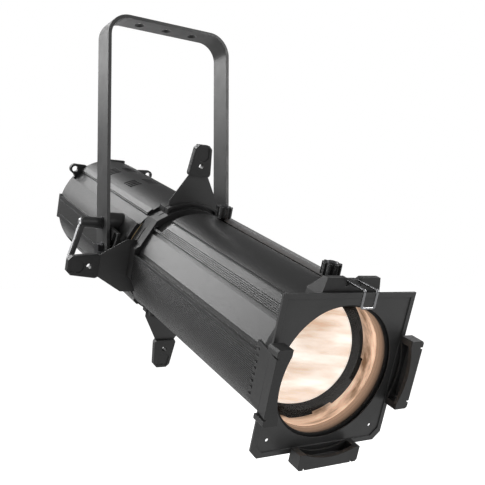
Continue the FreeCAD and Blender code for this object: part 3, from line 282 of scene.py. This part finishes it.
gloss_black = moulded("gloss_black", 0.02, 0.26)
dull_black_and_shade = flat_black_and_shade("dull_black_and_shade")
OWN_FINISH = {
    "latch_wire": metal("wire_steel", (0.34, 0.34, 0.35, 1), 0.2),
    "lock_lever": MATERIALS["cast_black"],
    "lamp_housing": extruded("housing_black", 0.020, 0.42),
    "slot_rail": extruded("rail_satin", 0.26, 0.32),
    "zoom_knob": gloss_black,
    "focus_knob": gloss_black,
    # carriages: flat black made darker as painted shade
    "zoom_carriage": dull_black_and_shade,
    "focus_carriage": dull_black_and_shade,
    # bezel bores: dull black with painted warm lamp light
    "lens_ring": bezel_painted_glow("lens_ring_painted_glow"),
    "front_bezel": bezel_painted_glow("front_bezel_painted_glow"),
    # painted lamp light: the focus lens is drawn as a glowing streaked surface, not glass
    "focus_lens": glowing("focus_glow", (0.60, 0.44, 0.33, 1), (1.0, 0.975, 0.94, 1), 0.85, (12, 30, 70)),
}

record_slots = {entry["node"]: entry["material_slot"] for entry in frame["record"]["subparts"]}
for node_name, node in frame["nodes"].items():
    node.data.materials.clear()
    node.data.materials.append(OWN_FINISH.get(node_name) or MATERIALS[record_slots[node_name]])


# ---------------------------------------------------------------- mesh helpers

def piece(name, build, body, material, place=BARREL):
    """A mesh made by build(bm) in millimetres, put in place and set to ride on a body."""
    mesh = bpy.data.meshes.new(name)
    bm = bmesh.new()
    build(bm)
    bmesh.ops.scale(bm, vec=(MM, MM, MM), verts=bm.verts)
    bmesh.ops.transform(bm, matrix=place, verts=bm.verts)
    bmesh.ops.recalc_face_normals(bm, faces=bm.faces)
    bm.to_mesh(mesh)
    bm.free()
    thing = bpy.data.objects.new(name, mesh)
    bpy.context.scene.collection.objects.link(thing)
    mesh.materials.append(material)
    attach(thing, body)
    return thing


POLE = 0.01     # radius in millimetres that stands in for a lathe's own axis


def lathe(bm, profile, count=96, axis="y", centre=(0, 0, 0), closed=True):
    """Turns (radius, along) points about a line through centre."""
    rings = []
    for radius, along in profile:
        ring = []
        for step in range(count):
            turn = 2 * math.pi * step / count
            a, b = radius * math.cos(turn), radius * math.sin(turn)
            spot = {"x": (along, a, b), "y": (a, along, b), "z": (a, b, along)}[axis]
            ring.append(bm.verts.new(Vector(spot) + Vector(centre)))
        rings.append(ring)
    pairs = list(zip(rings, rings[1:]))
    if closed:
        pairs.append((rings[-1], rings[0]))
    for first, second in pairs:
        for step in range(count):
            after = (step + 1) % count
            bm.faces.new((first[step], first[after], second[after], second[step]))


def block(bm, low, high):
    """A box between two corners."""
    size = Vector(high) - Vector(low)
    middle = (Vector(high) + Vector(low)) / 2
    made = bmesh.ops.create_cube(bm, size=1.0)["verts"]
    bmesh.ops.scale(bm, vec=size, verts=made)
    bmesh.ops.translate(bm, vec=middle, verts=made)


def plate(bm, outline, low, high, axis):
    """A flat piece: a closed outline of two coordinates, extruded along an axis."""
    spots = {"x": lambda a, b, t: (t, a, b), "y": lambda a, b, t: (a, t, b), "z": lambda a, b, t: (a, b, t)}
    ends = [[bm.verts.new(spots[axis](a, b, t)) for a, b in outline] for t in (low, high)]
    bm.faces.new(ends[0])
    bm.faces.new(reversed(ends[1]))
    for number in range(len(outline)):
        after = (number + 1) % len(outline)
        bm.faces.new((ends[0][number], ends[0][after], ends[1][after], ends[1][number]))


# ---------------------------------------------------------------- light inside the barrel

LINER_OUTER, LINER_INNER, LINER_FRONT, LINER_REAR = 63.42, 63.36, -350.5, -64.0
SLOT_X, SLOT_HALF = 16.0, 6.5


def liner(bm):
    """Thin sleeve just inside the lens tube, open along the knob slot, glowing with painted lamp light."""
    corners = [(LINER_OUTER, LINER_FRONT), (LINER_OUTER, LINER_REAR),
               (LINER_INNER, LINER_REAR), (LINER_INNER, LINER_FRONT)]
    slot, gap, count = math.asin(SLOT_X / LINER_OUTER), SLOT_HALF / LINER_OUTER, 96
    rings = []
    for step in range(count + 1):
        turn = slot + gap + (2 * math.pi - 2 * gap) * step / count
        rings.append([bm.verts.new((r * math.sin(turn), y, r * math.cos(turn))) for r, y in corners])
    for first, second in zip(rings, rings[1:]):
        for number in range(len(corners)):
            after = (number + 1) % len(corners)
            bm.faces.new((first[number], first[after], second[after], second[number]))
    bm.faces.new(rings[0])
    bm.faces.new(reversed(rings[-1]))


# painted lamp light: warm streaked emission on the sleeve for the lit inside of the tube
painted_lamp_glow = glowing("painted_lamp_glow", (0.16, 0.09, 0.05, 1), (0.78, 0.56, 0.42, 1), 0.9, (10, 55, 40))
piece("tube_liner", liner, "fixture", painted_lamp_glow)

LENS_BACK, LENS_FRONT, LENS_CURVE, LENS_RADIUS = -352.5, -368.037, 180.0, 65.95
LENS_STEPS = 32


def lens_body(bm):
    """The front lens with an even curved face, flat at the back."""
    face = []
    for step in range(LENS_STEPS + 1):
        radius = max(LENS_RADIUS * step / LENS_STEPS, POLE)
        sag = LENS_CURVE - math.sqrt(LENS_CURVE ** 2 - radius ** 2)
        face.append((radius, LENS_FRONT + sag))
    lathe(bm, face + [(LENS_RADIUS, LENS_BACK), (POLE, LENS_BACK)], 128, closed=False)
    bmesh.ops.remove_doubles(bm, verts=bm.verts, dist=3 * POLE)


lens = piece("front_lens_glass", lens_body, "fixture", MATERIALS["lens_glass"])
lens.data.shade_smooth()
lens.data.set_sharp_from_angle(angle=math.radians(30))
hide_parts("front_lens")


# ---------------------------------------------------------------- small trim

KNOB_SEAT, KNOB_TOP = 76.4, 89.4
KNOB_PLACES = {"zoom": -103.0, "focus": -315.0}


def knob_trim(bm):
    """Raised cap and washer ring on top of a clamping knob, drawn at the knob's own place."""
    cap_top = KNOB_TOP + 1.5
    lathe(bm, [(POLE, cap_top), (4.6, cap_top), (5.4, cap_top - 0.7), (5.4, KNOB_TOP), (POLE, KNOB_TOP)],
          40, "z", closed=False)
    washer_top = KNOB_SEAT + 0.35
    lathe(bm, [(7.0, KNOB_SEAT), (7.0, washer_top), (2.8, washer_top), (2.8, KNOB_SEAT)], 40, "z")


for side, place_y in KNOB_PLACES.items():
    seat = BARREL @ Matrix.Translation((SLOT_X * MM, place_y * MM, 0))
    piece(side + "_knob_cap", knob_trim, side + "_knob",
          MATERIALS["black_steel"], seat)


STRIP_TOP, STRIP_LOW = Vector((-118.7, 0, -268)), Vector((-135.2, 0, -315.5))
STRIP_THICK, STRIP_HALF = 0.7, 3.4
HUB_FACE, HUB_HEIGHT = -118.6, -270.0
ROW = Matrix.Identity(4)


def lever_highlight_strip(bm):
    """Bright steel strip down the lever's outer face, a painted highlight where the lever catches the
    light.
    """
    along = STRIP_TOP - STRIP_LOW
    out = Vector((along.z, 0, -along.x)).normalized() * -STRIP_THICK
    corners = [STRIP_TOP, STRIP_LOW, STRIP_LOW + out, STRIP_TOP + out]
    plate(bm, [(corner.x, corner.z) for corner in corners], -STRIP_HALF, STRIP_HALF, "y")


def hub_cap(bm):
    """Domed cap on the outer end of the lever's hub."""
    profile = [(POLE, HUB_FACE - 3.0), (3.2, HUB_FACE - 2.8), (4.6, HUB_FACE - 1.8),
               (4.6, HUB_FACE), (POLE, HUB_FACE)]
    lathe(bm, profile, 40, "x", (0, 0, HUB_HEIGHT), closed=False)


# painted highlight: a bright steel strip laid on the lever where it shows a highlight
piece("lever_painted_highlight", lever_highlight_strip, "lock_lever", MATERIALS["bright_steel"], ROW)
piece("lever_hub_cap", hub_cap, "fixture", MATERIALS["bright_steel"], ROW)


def screw_head(bm, spot, axis, radius=3.2, high=1.5):
    """Low cheese head with a dished top, standing on a face square to the axis."""
    sign = 1 if high > 0 else -1
    place = {"x": (0, spot[1], spot[2]), "y": (spot[0], 0, spot[2]), "z": (spot[0], spot[1], 0)}[axis]
    base = spot["xyz".index(axis)]
    profile = [(POLE, base + high * 0.4), (radius * 0.45, base + high * 0.4),
               (radius * 0.5, base + high), (radius - 0.4, base + high),
               (radius, base + high - 0.4 * sign), (radius, base), (POLE, base)]
    lathe(bm, profile, 28, axis, place, closed=False)


GATE_FACE, SCREW_X, SCREW_Z = -61.6, 49.5, 47.0


def gate_screws(bm):
    """Screws round the stepped rim of the gate."""
    for x in (-SCREW_X, SCREW_X):
        for z in (-SCREW_Z, SCREW_Z):
            screw_head(bm, (x, GATE_FACE, z), "y", 3.0, -1.6)


piece("gate_screws", gate_screws, "fixture", MATERIALS["black_steel"])


# ---------------------------------------------------------------- rear panel print

PANEL_REAR, PRINT_THICK = 223.5, 0.12
SOCKET_X, SOCKET_Z = (-28, 4), -4
SCREEN_REAR, BAR_LEFT, BAR_TOP = 223.02, -39, 32
BAR_WIDE, BAR_HIGH, BAR_PITCH, ROW_PITCH = 11, 3.5, 14.5, 8
print_white = moulded("print_white", 0.62, 0.5)
screen_blue = glowing("screen_blue", (0.05, 0.16, 0.30, 1), (0.10, 0.28, 0.46, 1), 0.5, (300, 300, 300))


def panel_print(bm):
    """Arrow and dash marks beside the keys, and thin rings round the sockets."""
    high = PANEL_REAR + PRINT_THICK
    marks = {
        "menu_dash": [(13, 40), (19, 40), (19, 41), (13, 41)],
        "up_arrow": [(27.4, 39.6), (32.6, 39.6), (30, 42.4)],
        "down_arrow": [(27.4, 12.6), (30, 9.8), (32.6, 12.6)],
        "enter_dash": [(13, 11), (19, 11), (19, 12), (13, 12)],
    }
    for outline in marks.values():
        plate(bm, outline, PANEL_REAR, high, "y")
    ring = [(12.4, PANEL_REAR), (12.4, high), (11.9, high), (11.9, PANEL_REAR)]
    for x in SOCKET_X:
        lathe(bm, ring, 48, "y", (x, 0, SOCKET_Z))


def screen(bm):
    """Two rows of blank menu bars on the display."""
    for row in range(2):
        for column in range(3):
            left, top = BAR_LEFT + BAR_PITCH * column, BAR_TOP - ROW_PITCH * row
            block(bm, (left, SCREEN_REAR, top - BAR_HIGH), (left + BAR_WIDE, SCREEN_REAR + 0.1, top))


piece("panel_print", panel_print, "fixture", print_white)
piece("screen_bars", screen, "fixture", screen_blue)


# ---------------------------------------------------------------- studio

WORLD_FILL = 0.16       # background strength for everything but the camera
FLOOR_GLOW = 1.1        # floor emission seen by the camera
FLOOR_FILL = 0.28       # floor emission that lights the object
FLOOR_DROP = 0.35       # floor below the lowest point at rest
CAMERA_PLACE = Vector((-0.43412, -0.85332, -0.34405))
CAMERA_LOOK = Vector((0.54754, 0.83540, 0.04794))
LIGHT_AIM = Vector((0, 0, -0.3))
LIGHTS = {              # name: place, size, power
    "back_left": ((-1.15, 1.35, 0.8), (1.0, 1.0), 20),
    "strip": ((-0.42, 1.2, 1.35), (0.45, 0.8), 16),
    "left": ((-1.7, -0.3, 0.4), (0.8, 1.2), 5),
    "low_left": ((-1.5, 0.35, -0.55), (0.25, 1.0), 9),
    "front_right": ((1.0, -1.3, 0.22), (0.3, 0.85), 8),
    "top": ((0.1, -0.6, 1.6), (0.8, 0.8), 2),
    "right": ((2.0, 0.1, 0.5), (0.9, 1.2), 22),
    "behind": ((0.5, 2.2, 0.1), (1.0, 1.0), 16),
}


def camera():
    data = bpy.data.cameras.new("camera")
    data.lens = 52.33
    data.sensor_width = 36.0
    data.shift_y = 0.00876
    data.clip_start, data.clip_end = 0.01, 100.0
    thing = bpy.data.objects.new("camera", data)
    bpy.context.scene.collection.objects.link(thing)
    thing.location = CAMERA_PLACE
    thing.rotation_mode = "QUATERNION"
    thing.rotation_quaternion = CAMERA_LOOK.to_track_quat("-Z", "Y")
    bpy.context.scene.camera = thing


def area_light(name, place, size, power):
    data = bpy.data.lights.new(name, "AREA")
    data.shape = "RECTANGLE"
    data.size, data.size_y = size
    data.energy = power
    thing = bpy.data.objects.new(name, data)
    bpy.context.scene.collection.objects.link(thing)
    thing.location = place
    thing.rotation_mode = "QUATERNION"
    thing.rotation_quaternion = (LIGHT_AIM - Vector(place)).to_track_quat("-Z", "Y")


def background():
    """White to the camera and a dim grey fill to everything else."""
    world = bpy.data.worlds.new("studio")
    bpy.context.scene.world = world
    world.use_nodes = True
    nodes, links = world.node_tree.nodes, world.node_tree.links
    seen = nodes.new("ShaderNodeLightPath").outputs["Is Camera Ray"]
    strength = nodes.new("ShaderNodeMapRange")
    strength.inputs["To Min"].default_value = WORLD_FILL
    strength.inputs["To Max"].default_value = 1.0
    links.new(seen, strength.inputs["Value"])
    nodes["Background"].inputs["Color"].default_value = (1, 1, 1, 1)
    links.new(strength.outputs["Result"], nodes["Background"].inputs["Strength"])


def floor():
    """Pale floor that glows white to the camera."""
    mesh = bpy.data.meshes.new("floor")
    bm = bmesh.new()
    bmesh.ops.create_grid(bm, x_segments=2, y_segments=2, size=40.0)
    bm.to_mesh(mesh)
    bm.free()
    thing = bpy.data.objects.new("floor", mesh)
    bpy.context.scene.collection.objects.link(thing)
    thing.location = (0, 0, cad_low.z - FLOOR_DROP)
    shader = Shader("floor")
    tone = shader.mix(shader.noise(0.6), grey(0.93), grey(0.97))
    matt = shader.mix(shader.noise(0.6), grey(0.34), grey(0.37))
    seen = shader.add("ShaderNodeLightPath").outputs["Is Camera Ray"]
    shader.feed(shader.bsdf, Base_Color=matt, Roughness=0.9, Emission_Color=tone,
                Emission_Strength=shader.spread(seen, FLOOR_FILL, FLOOR_GLOW, 0.0, 1.0))
    mesh.materials.append(shader.material)


camera()
background()
floor()
for light_name, (place, size, power) in LIGHTS.items():
    area_light(light_name, place, size, power)
bpy.context.scene.view_settings.view_transform = "Standard"
